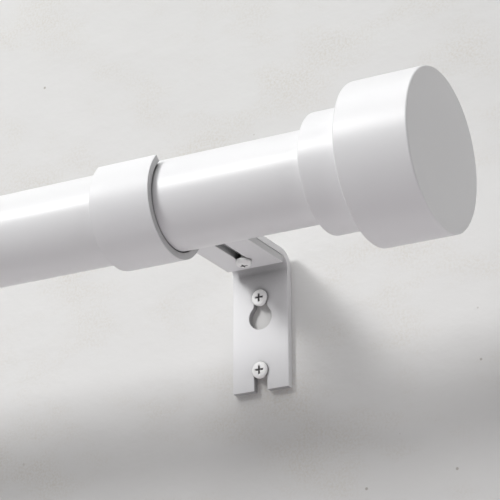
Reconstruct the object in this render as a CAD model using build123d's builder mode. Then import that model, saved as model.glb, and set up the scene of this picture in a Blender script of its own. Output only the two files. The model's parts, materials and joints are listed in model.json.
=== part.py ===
from build123d import *
from math import radians, tan
import os

# Extendable curtain rod: a pair of telescoping tubes with a stepped drum finial at
# each end, held off the wall by two brackets. A bracket is an L-shaped wall plate
# with a keyhole and an open foot slot, and under its arm slides a cradle arm, a
# strap bent into a hook that the rod lies in. A screw from below clamps the two.
#
# Frame: millimetres. The origin is on the wall, midway between the two wall screws
# of the right bracket. +X runs along the rod to the right end, +Y goes into the
# wall, +Z is up.

# Tubes
rod_diameter = 38.1
tube_wall = 0.6
tube_gap = 1.0
outer_tube_length = 638.0
inner_tube_length = 730.0
rod_length = 863.6
shortest_rod = 762.0
longest_rod = 1219.2

# Plastic rings that guide one tube in the other
guide_clearance = 0.3
press_clearance = 0.05
collar_lip = 1.5
collar_depth = 14.0
collar_radius = 0.5
glide_rim = 2.0
glide_depth = 12.0
glide_wall = 1.6

# Finials
cap_diameter = 66.1
cap_length = 31.0
neck_diameter = 49.3
neck_length = 19.0
shell_wall = 1.2
rim_radius = 0.8
mouth_radius = 0.4
insert_web = 2.5
insert_recess = 0.4
spigot_wall = 2.0
spigot_lead = 1.0
spigot_ribs = 3
rib_thickness = 2.0
tube_in_finial = 22.0
push_clearance = 0.1
finial_to_cradle = 67.8

# Bracket strap
strap_width = 27.7
strap_thickness = 3.2
strap_edge = 0.35
projection = 100.0
plate_bend_radius = 5.0
screw_spacing = 33.5
rod_above_screw = 7.6
foot_below_screw = 9.1

# Cradle arm
cradle_clearance = 0.6
cradle_lip_angle = 45.0
seat_gap = 0.3
arm_bend_radius = 3.0
arm_above_rod = 5.3
slide_gap = 0.3
arm_wall_gap = 4.6
arm_slot_length = 36.0

# Clamp screw and nut, and the slots that the screw runs in
clamp_screw_diameter = 4.0
clamp_screw_reach = 12.2
clamp_screw_chamfer = 0.3
clamp_head_diameter = 6.9
clamp_head_height = 2.8
clamp_screw_inset = 10.6
clamp_slot_clearance = 0.35
nut_width = 7.0
nut_height = 3.2
nut_chamfer_angle = 30.0
nut_clearance = 0.1
thread_clearance = 0.05
arm_travel = 38.0
slot_end_margin = 0.5
plate_end_margin = 7.0

# Wall screws and the holes that hang on them
wall_screw_diameter = 4.2
wall_screw_neck = 3.6
wall_screw_length = 34.0
wall_screw_point = 6.0
wall_point_taper = 18.0
wall_thread_start = 0.2
wall_head_diameter = 7.6
wall_head_height = 1.5
hang_slot_width = 6.3
hang_clearance = 0.1
keyhole_diameter = 11.2
keyhole_drop = 8.9
keyhole_blend = 3.5

# Cross recess in every screw head
recess_width = 0.9
recess_share = 0.56
recess_depth = 1.1
recess_taper = 12.0

# Worked out from the sizes above
RIGHT, LEFT = 1, -1
tube_bore = rod_diameter - 2 * tube_wall
inner_diameter = tube_bore - 2 * tube_gap
cradle_radius = rod_diameter / 2 + cradle_clearance
inner_bore = inner_diameter - 2 * tube_wall
neck_bore = neck_diameter - 2 * shell_wall
finial_length = neck_length + cap_length

screw_height = screw_spacing / 2
rod_height = screw_height + rod_above_screw
foot_height = -screw_height - foot_below_screw
hang_rise = (wall_screw_neck - hang_slot_width) / 2 + hang_clearance
arm_bottom = rod_height + arm_above_rod
arm_top = arm_bottom + strap_thickness
plate_arm_bottom = arm_top + slide_gap
plate_arm_top = plate_arm_bottom + strap_thickness
plate_outer_radius = plate_bend_radius + strap_thickness

arm_wall_end = -strap_thickness - arm_wall_gap
clamp_y = arm_wall_end - clamp_screw_inset
clamp_slot_width = clamp_screw_diameter + 2 * clamp_slot_clearance
plate_slot_inner = clamp_y + slot_end_margin
plate_slot_outer = clamp_y - arm_travel - slot_end_margin
plate_free_end = plate_slot_outer - clamp_slot_width / 2 - plate_end_margin

# The outer tube is fixed in place by the right bracket. The rod's length sets where
# the left end and the left bracket are, and the left bracket sits a little higher
# because the inner tube is thinner and lies in the same cradle.
finial_mouth_offset = strap_width / 2 + finial_to_cradle
right_mouth = finial_mouth_offset
right_tube_end = right_mouth + tube_in_finial
left_tube_end = right_tube_end - rod_length
left_mouth = left_tube_end + tube_in_finial
left_bracket_x = left_mouth + finial_mouth_offset
left_bracket_z = (rod_diameter - inner_diameter) / 2
cradle_rise = cradle_radius - rod_diameter / 2 - seat_gap
outer_tube_left = right_tube_end - outer_tube_length
inner_tube_right = left_tube_end + inner_tube_length

BRACKETS = {"right": (0.0, 0.0), "left": (left_bracket_x, left_bracket_z)}

print("rod can slide in by", round(rod_length - shortest_rod, 2),
      "and out by", round(longest_rod - rod_length, 2))
print("tubes overlap by", round(inner_tube_right - outer_tube_left, 2), "now, by",
      round(outer_tube_length + inner_tube_length - longest_rod, 2), "at full length")

os.makedirs("parts", exist_ok=True)


def rod_plane(x, side):
    """Plane through the rod's axis: local X runs outward along the rod, local Y is up."""
    return Plane(origin=(x, -projection, rod_height), x_dir=(side, 0, 0), z_dir=(0, -side, 0))


def side_plane(x, z):
    """Plane across the rod: local X runs into the wall, local Y is up."""
    return Plane(origin=(x, 0, z), x_dir=(0, 1, 0), z_dir=(1, 0, 0))


def wall_plane(x, z, y=0.0):
    """Plane that faces the room: local X is to the right, local Y is up."""
    return Plane(origin=(x, y, z), x_dir=(1, 0, 0), z_dir=(0, -1, 0))


def level_plane(x, z):
    """Level plane seen from above: local X is to the right, local Y into the wall."""
    return Plane(origin=(x, 0, z), x_dir=(1, 0, 0), z_dir=(0, 0, 1))


def along_rod(x, side):
    """The rod's axis, pointing outward at the side that is named."""
    return Axis((x, -projection, rod_height), (side, 0, 0))


def tube(length, outside, wall, x):
    """A plain drawn tube that starts at x and runs to the right."""
    across_rod = Plane(origin=(x, -projection, rod_height), x_dir=(0, 1, 0), z_dir=(1, 0, 0))
    with BuildPart() as drawn:
        with BuildSketch(across_rod):
            Circle(outside / 2)
            Circle(outside / 2 - wall, mode=Mode.SUBTRACT)
        extrude(amount=length)
    return drawn


def collar():
    """Bush in the outer tube's mouth, with a lip over its edge, that the inner tube runs in."""
    bore = inner_diameter / 2 + guide_clearance
    with BuildPart() as bush:
        with BuildSketch(rod_plane(outer_tube_left, RIGHT)):
            with BuildLine():
                Polyline(
                    (-collar_lip, bore),
                    (collar_depth, bore),
                    (collar_depth, tube_bore / 2 - press_clearance),
                    (0, tube_bore / 2 - press_clearance),
                    (0, rod_diameter / 2),
                    (-collar_lip, rod_diameter / 2),
                    close=True,
                )
            make_face()
        revolve(axis=along_rod(outer_tube_left, RIGHT))
        fillet(bush.edges().filter_by(GeomType.CIRCLE).group_by(Axis.X)[0].sort_by(SortBy.RADIUS)[-1],
               collar_radius)
    return bush


def glide():
    """Ring plugged in the inner tube's hidden end, whose rim runs in the outer tube."""
    plug = inner_bore / 2 - press_clearance
    with BuildPart() as ring:
        with BuildSketch(rod_plane(inner_tube_right, RIGHT)):
            with BuildLine():
                Polyline(
                    (-glide_depth, plug - glide_wall),
                    (glide_rim, plug - glide_wall),
                    (glide_rim, tube_bore / 2 - guide_clearance),
                    (0, tube_bore / 2 - guide_clearance),
                    (0, plug),
                    (-glide_depth, plug),
                    close=True,
                )
            make_face()
        revolve(axis=along_rod(inner_tube_right, RIGHT))
    return ring


def finial(mouth, side):
    """Pressed shell: a neck that sleeves the rod's end and a wider drum with a flat face."""
    with BuildPart() as shell:
        with BuildSketch(rod_plane(mouth, side)):
            with BuildLine():
                Polyline(
                    (0, 0),
                    (finial_length, 0),
                    (finial_length, cap_diameter / 2),
                    (neck_length, cap_diameter / 2),
                    (neck_length, neck_diameter / 2),
                    (0, neck_diameter / 2),
                    close=True,
                )
            make_face()
        revolve(axis=along_rod(mouth, side))
        across = shell.edges().filter_by(GeomType.CIRCLE).group_by(SortBy.RADIUS)
        fillet(across[-1], rim_radius)
        mouth_face = shell.faces().sort_by(Axis.X)[0 if side == RIGHT else -1]
        fillet(mouth_face.edges(), mouth_radius)
        with BuildSketch(rod_plane(mouth, side)):
            with BuildLine():
                Polyline(
                    (0, 0),
                    (finial_length - shell_wall, 0),
                    (finial_length - shell_wall, cap_diameter / 2 - shell_wall),
                    (neck_length + shell_wall, cap_diameter / 2 - shell_wall),
                    (neck_length + shell_wall, neck_bore / 2),
                    (0, neck_bore / 2),
                    close=True,
                )
            make_face()
        revolve(axis=along_rod(mouth, side), mode=Mode.SUBTRACT)
    return shell


def finial_insert(mouth, side, tube_diameter):
    """Moulded plug in the neck: an outer ring and a ribbed spigot with a groove for the tube's end."""
    bore = tube_diameter / 2 - tube_wall
    groove_end = tube_in_finial + push_clearance
    spigot = bore - push_clearance
    with BuildPart() as plug:
        with BuildSketch(rod_plane(mouth, side)):
            with BuildLine():
                Polyline(
                    (insert_recess, tube_diameter / 2 + push_clearance),
                    (groove_end, tube_diameter / 2 + push_clearance),
                    (groove_end, spigot),
                    (insert_recess + spigot_lead, spigot),
                    (insert_recess, spigot - spigot_lead / 2),
                    (insert_recess, spigot - spigot_wall),
                    (groove_end, spigot - spigot_wall),
                    (groove_end, 0),
                    (groove_end + insert_web, 0),
                    (groove_end + insert_web, neck_bore / 2 - press_clearance),
                    (insert_recess, neck_bore / 2 - press_clearance),
                    close=True,
                )
            make_face()
        revolve(axis=along_rod(mouth, side))
        web = Plane(origin=(mouth + side * (groove_end + insert_web / 2), -projection, rod_height),
                    x_dir=(0, 1, 0), z_dir=(-side, 0, 0))
        with BuildSketch(web):
            with PolarLocations(0, spigot_ribs, angular_range=180):
                Rectangle(2 * spigot - spigot_wall, rib_thickness)
        extrude(amount=groove_end + insert_web / 2 - insert_recess - spigot_lead)
    return plug


def wall_plate(x, z):
    """L-shaped strap: a leg on the wall with its hanging holes, and a slotted arm."""
    with BuildPart() as plate:
        with BuildSketch(side_plane(x, z)):
            with BuildLine():
                FilletPolyline(
                    (0, foot_height),
                    (0, plate_arm_top),
                    (plate_free_end, plate_arm_top),
                    radius=plate_outer_radius,
                )
                offset(amount=strap_thickness, side=Side.LEFT)
            make_face()
        extrude(amount=strap_width / 2, both=True)
        sides = plate.faces().filter_by(Axis.X)
        fillet(sides.edges(), strap_edge)
        with BuildSketch(wall_plane(x, z)):
            for height in (screw_height, -screw_height):
                with Locations((0, height + hang_rise)):
                    Circle(hang_slot_width / 2)
            with Locations((0, screw_height - keyhole_drop)):
                Circle(keyhole_diameter / 2)
                Rectangle(hang_slot_width, keyhole_drop + hang_rise, align=(Align.CENTER, Align.MIN))
            with Locations((0, foot_height)):
                Rectangle(hang_slot_width, 2 * (foot_below_screw + hang_rise))
            necks = vertices().filter_by_position(Axis.Y, screw_height - keyhole_drop, screw_height)
            fillet(necks.group_by(Axis.Y)[0], keyhole_blend)
        extrude(amount=strap_thickness, mode=Mode.SUBTRACT)
        with BuildSketch(level_plane(x, z + plate_arm_bottom)):
            with Locations((0, (plate_slot_inner + plate_slot_outer) / 2)):
                SlotCenterToCenter(plate_slot_inner - plate_slot_outer, clamp_slot_width, rotation=90)
        extrude(amount=strap_thickness, mode=Mode.SUBTRACT)
    return plate


def cradle_arm(x, z):
    """Strap with a slotted flat and a hook: down behind the rod, under it and up its front."""
    hook_y, hook_z = -projection, rod_height + cradle_rise
    bend = arm_bend_radius + strap_thickness
    bend_y, bend_z = hook_y + cradle_radius + bend, arm_top - bend
    with BuildPart() as arm:
        with BuildSketch(side_plane(x, z)):
            with BuildLine():
                hook = CenterArc((hook_y, hook_z), cradle_radius, 180 - cradle_lip_angle, 180 + cradle_lip_angle)
                Line(hook @ 1, (hook_y + cradle_radius, bend_z))
                turn = CenterArc((bend_y, bend_z), bend, 180, -90)
                Line(turn @ 1, (arm_wall_end, arm_top))
                offset(amount=strap_thickness, side=Side.RIGHT)
            make_face()
        extrude(amount=strap_width / 2, both=True)
        fillet(arm.faces().filter_by(Axis.X).edges(), strap_edge)
        with BuildSketch(level_plane(x, z + arm_bottom)):
            with Locations((0, clamp_y - arm_slot_length / 2)):
                SlotCenterToCenter(arm_slot_length, clamp_slot_width, rotation=90)
        extrude(amount=strap_thickness, mode=Mode.SUBTRACT)
    return arm


def cross_recess(plane, head_diameter):
    """The cross sunk in a screw head, as a cutter that starts on the plane."""
    with BuildPart(mode=Mode.PRIVATE) as cutter:
        with BuildSketch(plane):
            for turn in (0, 90):
                Rectangle(recess_share * head_diameter, recess_width, rotation=turn)
        extrude(amount=-recess_depth, taper=recess_taper)
    return cutter.part


def clamp_screw(x, z):
    """Pan head screw that comes up through both slots into the nut."""
    under_head = z + arm_bottom
    face = Plane(origin=(x, clamp_y, under_head - clamp_head_height), x_dir=(1, 0, 0), z_dir=(0, 0, -1))
    with BuildPart() as screw:
        with BuildSketch(face):
            Circle(clamp_head_diameter / 2)
        extrude(amount=-clamp_head_height)
        fillet(screw.edges().group_by(Axis.Z)[0], clamp_head_height / 2)
        with BuildSketch(face.offset(-clamp_head_height)):
            Circle(clamp_screw_diameter / 2)
        extrude(amount=-clamp_screw_reach)
        chamfer(screw.edges().group_by(Axis.Z)[-1], clamp_screw_chamfer)
        add(cross_recess(face, clamp_head_diameter), mode=Mode.SUBTRACT)
    return screw


def clamp_nut(x, z):
    """Hexagon nut on top of the plate's arm, with its corners turned off."""
    base = Plane(origin=(x, clamp_y, z + plate_arm_top + nut_clearance), x_dir=(1, 0, 0), z_dir=(0, 0, 1))
    with BuildPart() as nut:
        with BuildSketch(base):
            RegularPolygon(nut_width / 2, 6, major_radius=False)
            Circle(clamp_screw_diameter / 2 + thread_clearance, mode=Mode.SUBTRACT)
        extrude(amount=nut_height)
        with BuildSketch(base):
            Circle(nut_width / 2 + nut_height / tan(radians(nut_chamfer_angle)))
        extrude(amount=nut_height, taper=90 - nut_chamfer_angle, mode=Mode.INTERSECT)
    return nut


def wall_screw(x, z, height):
    """Pan head wood screw: its head stands on the plate's front and its point is in the wall."""
    head = wall_plane(x, z + height, -strap_thickness)
    neck_end = strap_thickness + wall_thread_start
    thread_end = wall_screw_length - wall_screw_point
    with BuildPart() as screw:
        with BuildSketch(head):
            Circle(wall_head_diameter / 2)
        extrude(amount=wall_head_height)
        fillet(screw.edges().group_by(Axis.Y)[0], wall_head_height / 2)
        with BuildSketch(head):
            Circle(wall_screw_neck / 2)
        extrude(amount=-neck_end)
        with BuildSketch(head.offset(-neck_end)):
            Circle(wall_screw_diameter / 2)
        extrude(amount=neck_end - thread_end)
        with BuildSketch(head.offset(-thread_end)):
            Circle(wall_screw_diameter / 2)
        extrude(amount=-wall_screw_point, taper=wall_point_taper)
        add(cross_recess(head.offset(wall_head_height), wall_head_diameter), mode=Mode.SUBTRACT)
    return screw


outer_tube = tube(outer_tube_length, rod_diameter, tube_wall, outer_tube_left)
outer_tube.part.label = "outer_tube"
export_step(outer_tube.part, "parts/outer_tube.step")

inner_tube = tube(inner_tube_length, inner_diameter, tube_wall, left_tube_end)
inner_tube.part.label = "inner_tube"
export_step(inner_tube.part, "parts/inner_tube.step")

outer_tube_collar = collar()
outer_tube_collar.part.label = "outer_tube_collar"
export_step(outer_tube_collar.part, "parts/outer_tube_collar.step")

inner_tube_glide = glide()
inner_tube_glide.part.label = "inner_tube_glide"
export_step(inner_tube_glide.part, "parts/inner_tube_glide.step")

ENDS = {"right": (right_mouth, RIGHT, rod_diameter), "left": (left_mouth, LEFT, inner_diameter)}
for end, (mouth, side, tube_diameter) in ENDS.items():
    end_pieces = {
        f"{end}_finial": finial(mouth, side),
        f"{end}_finial_insert": finial_insert(mouth, side, tube_diameter),
    }
    for label, piece in end_pieces.items():
        piece.part.label = label
        export_step(piece.part, f"parts/{label}.step")

for end, (x, z) in BRACKETS.items():
    bracket_pieces = {
        f"{end}_wall_plate": wall_plate(x, z),
        f"{end}_cradle_arm": cradle_arm(x, z),
        f"{end}_clamp_screw": clamp_screw(x, z),
        f"{end}_clamp_nut": clamp_nut(x, z),
        f"{end}_wall_screw_upper": wall_screw(x, z, screw_height),
        f"{end}_wall_screw_lower": wall_screw(x, z, -screw_height),
    }
    for label, piece in bracket_pieces.items():
        piece.part.label = label
        export_step(piece.part, f"parts/{label}.step")
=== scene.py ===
# %% [markdown]
# An extendable curtain rod on its wall brackets. The rod is two thin steel tubes, one
# sliding in the other, with a stepped drum finial pushed on each end. Each bracket is
# an L-shaped plate on the wall and, under it, a strap bent into a hook that the rod
# lies in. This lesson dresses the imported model: it reads every place from the frame,
# models each piece again with rounded edges and threads, and paints it white.

# %% Load the frame
import json
from math import atan2, cos, degrees, radians, sin, sqrt, tan

import bmesh
import bpy
from mathutils import Matrix, Vector


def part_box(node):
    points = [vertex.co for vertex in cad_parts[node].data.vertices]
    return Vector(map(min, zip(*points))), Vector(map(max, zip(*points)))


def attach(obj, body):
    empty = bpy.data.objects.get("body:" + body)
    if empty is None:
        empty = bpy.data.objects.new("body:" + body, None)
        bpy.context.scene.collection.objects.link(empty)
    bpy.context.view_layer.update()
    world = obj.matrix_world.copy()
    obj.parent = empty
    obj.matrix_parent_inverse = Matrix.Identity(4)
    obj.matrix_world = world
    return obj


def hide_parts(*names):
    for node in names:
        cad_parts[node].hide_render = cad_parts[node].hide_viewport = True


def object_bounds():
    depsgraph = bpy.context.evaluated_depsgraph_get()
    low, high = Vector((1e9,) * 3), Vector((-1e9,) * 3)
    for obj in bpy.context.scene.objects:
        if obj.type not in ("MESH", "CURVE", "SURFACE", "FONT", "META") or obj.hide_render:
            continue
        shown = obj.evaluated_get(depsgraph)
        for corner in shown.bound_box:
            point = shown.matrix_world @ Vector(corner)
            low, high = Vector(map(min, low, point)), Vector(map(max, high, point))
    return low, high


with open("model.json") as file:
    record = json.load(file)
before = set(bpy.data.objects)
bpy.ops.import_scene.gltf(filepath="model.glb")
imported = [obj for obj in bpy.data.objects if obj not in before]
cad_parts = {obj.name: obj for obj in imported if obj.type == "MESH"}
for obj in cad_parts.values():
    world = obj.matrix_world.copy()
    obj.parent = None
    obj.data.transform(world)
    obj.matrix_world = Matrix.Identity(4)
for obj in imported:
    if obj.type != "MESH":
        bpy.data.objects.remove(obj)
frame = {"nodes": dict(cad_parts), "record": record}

cad_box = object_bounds()

# %% [markdown]
# A dressed piece has to sit exactly where its CAD node is, so nothing is placed by
# eye. A node's box gives its middle and its reach, and what a box can't give, such as
# the thickness of a strap, is a named size in metres here. Both ends of the rod are
# the same, so what repeats is modelled once, for the right end, and copied.

# %% Places read from the frame
MM = 0.001
MERGE_DISTANCE = 0.002 * MM


def middle(node):
    """The middle of a CAD node's box."""
    lowest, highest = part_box(node)
    return (lowest + highest) / 2


def reach(node):
    """The size of a CAD node's box along x, y and z."""
    lowest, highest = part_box(node)
    return highest - lowest


def both(part):
    """The names of a part's right and left nodes."""
    return ("right_" + part, "left_" + part)


rod_middle = middle("outer_tube")
rod_radius = max(reach("outer_tube").yz) / 2
inner_radius = max(reach("inner_tube").yz) / 2
cap_radius = max(reach("right_finial").yz) / 2
strap_width = reach("right_wall_plate").x
print("rod", round(2 * rod_radius / MM, 2), "mm across, inner tube", round(2 * inner_radius / MM, 2), "mm")

# %% [markdown]
# Everything below is shaped in edit mode with the same few habits. An operator works
# on all that is selected, so each step first drops the selection and then picks
# vertices, edges or faces by where they are. A finished piece has its place in its
# mesh and its object at the origin, as a CAD node has, so that poses and patterns
# stay with it.

# %% Selecting in edit mode
def only(obj):
    """Makes obj the one selected and active object."""
    bpy.ops.object.select_all(action="DESELECT")
    obj.select_set(True)
    bpy.context.view_layer.objects.active = obj


def edit(obj):
    """Opens obj in edit mode with everything selected."""
    only(obj)
    bpy.ops.object.mode_set(mode="EDIT")
    bpy.ops.mesh.select_mode(type="VERT")
    bpy.ops.mesh.select_all(action="SELECT")


def close(obj):
    """Turns all faces outwards and leaves edit mode."""
    bpy.ops.mesh.select_all(action="SELECT")
    bpy.ops.mesh.normals_make_consistent(inside=False)
    bpy.ops.object.mode_set(mode="OBJECT")
    return obj


def pick_edges(obj, test):
    """In edit mode, selects only the edges whose two ends pass the test."""
    bpy.ops.mesh.select_mode(type="EDGE")
    bpy.ops.mesh.select_all(action="DESELECT")
    mesh = bmesh.from_edit_mesh(obj.data)
    for edge in mesh.edges:
        edge.select_set(all(test(vertex.co) for vertex in edge.verts))
    mesh.select_flush_mode()
    bmesh.update_edit_mesh(obj.data)


def pick_faces(obj, test):
    """In edit mode, selects only the faces whose middle and normal pass the test."""
    bpy.ops.mesh.select_mode(type="FACE")
    bpy.ops.mesh.select_all(action="DESELECT")
    mesh = bmesh.from_edit_mesh(obj.data)
    mesh.normal_update()
    for face in mesh.faces:
        face.select_set(test(face.calc_center_median(), face.normal))
    mesh.select_flush_mode()
    bmesh.update_edit_mesh(obj.data)


print("points nearer than", MERGE_DISTANCE / MM, "mm count as one")

# %% Seating, cutting and rounding
SHARP = radians(35)


def seat(obj, at, turn=(0, 0, 0)):
    """Turns and moves a piece, and puts the turn and the move in its mesh."""
    obj.location = at
    obj.rotation_euler = turn
    only(obj)
    bpy.ops.object.transform_apply(location=True, rotation=True, scale=True)
    return obj


def apply_modifier(obj, kind, **settings):
    """Adds one modifier with its settings and applies it at once."""
    only(obj)
    modifier = obj.modifiers.new(kind.lower(), kind)
    for setting, value in settings.items():
        setattr(modifier, setting, value)
    bpy.ops.object.modifier_apply(modifier=modifier.name)


def combine(obj, tool, operation):
    """Cuts, joins or trims obj with a tool body, which is then thrown away."""
    apply_modifier(obj, "BOOLEAN", object=tool, operation=operation, solver="EXACT")
    bpy.data.objects.remove(tool)


def soften(obj, width, segments=3):
    """Rounds every sharp edge a little, as paint and pressing do."""
    apply_modifier(obj, "BEVEL", width=width, segments=segments, limit_method="ANGLE",
                   angle_limit=SHARP, use_clamp_overlap=True)


def weld(obj):
    """Merges points that a cut or a bevel left on top of each other."""
    edit(obj)
    bpy.ops.mesh.remove_doubles(threshold=MERGE_DISTANCE)
    bpy.ops.mesh.dissolve_degenerate(threshold=MERGE_DISTANCE)
    return close(obj)


print("edges sharper than", round(degrees(SHARP)), "degrees get rounded")

# %% [markdown]
# A finished piece stands for its CAD node: it takes the node's body, so that it moves
# with it, and a finish. A piece that repeats is copied before that, each copy with its
# own mesh, and the distance between the two nodes' middles says how far the copy
# moves. The finial is also turned round, to face outwards.

# %% Dressing a node
def smooth(obj):
    """Shades curved faces smooth and keeps flat faces flat up to their rounded edges."""
    only(obj)
    bpy.ops.object.shade_smooth_by_angle(angle=SHARP)
    apply_modifier(obj, "WEIGHTED_NORMAL", keep_sharp=True, weight=50)


def box_middle(obj):
    """The middle of a piece's own box."""
    corners = [Vector(corner) for corner in obj.bound_box]
    return (corners[0] + corners[6]) / 2


def dress(obj, node, material):
    """Lets obj stand for a CAD node: same place, same body, its own finish."""
    smooth(obj)
    obj.name = node + "_dressed"
    obj.data.materials.clear()
    obj.data.materials.append(material)
    bodies = frame["record"]["behaviour"]["bodies"]
    body = next(name for name, nodes in bodies.items() if node in nodes)
    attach(obj, body)
    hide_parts(node)
    offset = (middle(node) - box_middle(obj)).length
    print(obj.name, "on", body, "with", len(obj.data.polygons), "faces,",
          round(offset / MM, 2), "mm off the node's middle")


def dress_each(obj, nodes, material, turn=0.0):
    """Dresses a piece as the first node, and a moved and turned copy as each other node."""
    first = nodes[0]
    pieces = {first: obj}
    swing = Matrix.Rotation(turn, 3, "Z")
    for node in nodes[1:]:
        twin = obj.copy()
        twin.data = obj.data.copy()
        bpy.context.scene.collection.objects.link(twin)
        pieces[node] = seat(twin, middle(node) - swing @ middle(first), (0, 0, turn))
    for node, piece in pieces.items():
        dress(piece, node, material)


# %% [markdown]
# The white finish is powder coat: paint sprayed on as a dry powder and baked. Close
# up it is never flat. It has a faint orange-peel skin about half a millimetre across,
# its tone drifts slowly over a hand's breadth, and on an edge it pulls thin and a
# little darker. In a slot, in a screw's cross and wherever walls close in, the colour
# is painted darker: that is painted shade, where little light comes in. These effects
# are small node groups, built once, so that each finish can use them with its own
# strengths. They put out only masks and heights. A few helpers come first, because a
# node is always added, set and linked in the same way.

# %% Node helpers
def feed(tree, socket, value):
    """Links an input to another node's output, or sets it to a plain value."""
    if isinstance(value, bpy.types.NodeSocket):
        tree.links.new(value, socket)
    else:
        socket.default_value = value


def add_node(tree, kind, settings=None, **inputs):
    """Adds a node with its settings, and feeds its inputs by their names."""
    made = tree.nodes.new(kind)
    for setting, value in (settings or {}).items():
        setattr(made, setting, value)
    for label, value in inputs.items():
        feed(tree, made.inputs[label.replace("_", " ")], value)
    return made


def group_node(tree, group, **inputs):
    """Places a node group in a tree."""
    return add_node(tree, "ShaderNodeGroup", {"node_tree": group}, **inputs)


def combine_values(tree, operation, first, second):
    """One value from two, by an operation such as MULTIPLY or MAXIMUM."""
    made = add_node(tree, "ShaderNodeMath", {"operation": operation})
    feed(tree, made.inputs[0], first)
    feed(tree, made.inputs[1], second)
    return made.outputs["Value"]


def ramp_between(tree, value, low, high, to_low=0.0, to_high=1.0):
    """Stretches the part of a value between low and high to a new range."""
    return add_node(tree, "ShaderNodeMapRange", Value=value, From_Min=low, From_Max=high,
                    To_Min=to_low, To_Max=to_high).outputs["Result"]


def noise(tree, place, scale, detail, roughness):
    """The values of a cloudy pattern, with about as many spots to the metre as the scale."""
    return add_node(tree, "ShaderNodeTexNoise", Vector=place, Scale=scale, Detail=detail,
                    Roughness=roughness).outputs["Fac"]


def new_group(label, inputs, outputs):
    """An empty shader node group with named input and output sockets."""
    group = bpy.data.node_groups.new(label, "ShaderNodeTree")
    for name, (kind, value) in inputs.items():
        socket = group.interface.new_socket(name=name, in_out="INPUT", socket_type=kind)
        if value is not None:
            socket.default_value = value
    for name in outputs:
        group.interface.new_socket(name=name, in_out="OUTPUT", socket_type="NodeSocketFloat")
    entry = group.nodes.new("NodeGroupInput")
    leave = group.nodes.new("NodeGroupOutput")
    return group, entry.outputs, leave.inputs


print("materials so far:", len(bpy.data.materials))

# %% Orange peel, thin edges and painted crevice shade
NOISE_CORE = (0.3, 0.7)
NORMAL_LEAVES = (0.99, 0.85)


def make_coat_skin():
    """A fine height for the skin and a slow drift of tone, by the place on the object."""
    group, given, out = new_group(
        "coat skin",
        {"Place": ("NodeSocketVector", None), "Peel Scale": ("NodeSocketFloat", 1500.0),
         "Drift Scale": ("NodeSocketFloat", 14.0)},
        ("Peel", "Drift"))
    peel = noise(group, given["Place"], given["Peel Scale"], 2.0, 0.45)
    drift = noise(group, given["Place"], given["Drift Scale"], 3.0, 0.5)
    feed(group, out["Peel"], ramp_between(group, peel, *NOISE_CORE))
    feed(group, out["Drift"], ramp_between(group, drift, *NOISE_CORE))
    return group


def make_thin_edge():
    """A mask that is 1 on an outer edge, where the rounded normal leaves the real one."""
    group, given, out = new_group("thin edge", {"Width": ("NodeSocketFloat", 0.6 * MM)}, ("Edge",))
    rounded = add_node(group, "ShaderNodeBevel", {"samples": 6}, Radius=given["Width"])
    real = add_node(group, "ShaderNodeNewGeometry")
    agreement = add_node(group, "ShaderNodeVectorMath", {"operation": "DOT_PRODUCT"})
    feed(group, agreement.inputs[0], rounded.outputs["Normal"])
    feed(group, agreement.inputs[1], real.outputs["Normal"])
    feed(group, out["Edge"], ramp_between(group, agreement.outputs["Value"], *NORMAL_LEAVES))
    return group


def make_painted_crevice_shade(label, alone):
    """A painted-shade mask, 1 where walls hide the room; alone, only the piece's own walls count."""
    group, given, out = new_group(
        label,
        {"Reach": ("NodeSocketFloat", 4 * MM), "Open": ("NodeSocketFloat", 0.5),
         "Shut": ("NodeSocketFloat", 0.2)},
        ("Deep",))
    sight = add_node(group, "ShaderNodeAmbientOcclusion", {"samples": 8, "only_local": alone},
                     Distance=given["Reach"])
    feed(group, out["Deep"], ramp_between(group, sight.outputs["AO"], given["Open"], given["Shut"]))
    return group


COAT_SKIN = make_coat_skin()
THIN_EDGE = make_thin_edge()
# Painted shade: these two masks darken the coat in slots, recesses and corners.
CREVICE_SHADE = make_painted_crevice_shade("crevice", False)
OWN_CREVICE_SHADE = make_painted_crevice_shade("own crevice", True)
print("node groups:", [group.name for group in bpy.data.node_groups])

# %% [markdown]
# Every white finish lays these masks over its two tones. In the photograph the strap's
# sheared edges and punched holes are plain grey faces, so those faces carry the
# attribute "cut", which the coat reads and paints grey as painted shade on them. A wall
# plate lies flat on the wall, and the wall would make its whole back a crevice. So a
# plate's painted crevice shade leaves its neighbours out, and only its front also gets
# a painted shadow where the cradle arm lies close above it.

# %% A material, its mixed colours and its bump
MIX_FIRST, MIX_SECOND, MIX_RESULT = 6, 7, 2


def new_material(label):
    """A material with an empty tree, its shader, and the place on the object."""
    material = bpy.data.materials.new(label)
    material.use_nodes = True
    tree = material.node_tree
    tree.nodes.clear()
    shader = add_node(tree, "ShaderNodeBsdfPrincipled")
    add_node(tree, "ShaderNodeOutputMaterial", Surface=shader.outputs["BSDF"])
    place = add_node(tree, "ShaderNodeTexCoord").outputs["Object"]
    return material, tree, shader, place


def mix_colours(tree, share, first, second):
    """A colour that goes from the first to the second with the share."""
    made = add_node(tree, "ShaderNodeMix", {"data_type": "RGBA"}, Factor=share)
    for socket, colour in ((made.inputs[MIX_FIRST], first), (made.inputs[MIX_SECOND], second)):
        feed(tree, socket, colour if isinstance(colour, bpy.types.NodeSocket) else (*colour, 1.0))
    return made.outputs[MIX_RESULT]


def add_bump(tree, shader, height, depth):
    """Raises a height pattern by a depth in metres."""
    bump = add_node(tree, "ShaderNodeBump", Height=height, Distance=depth, Strength=1.0)
    feed(tree, shader.inputs["Normal"], bump.outputs["Normal"])


print("mix node sockets:", MIX_FIRST, MIX_SECOND, MIX_RESULT)

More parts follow.
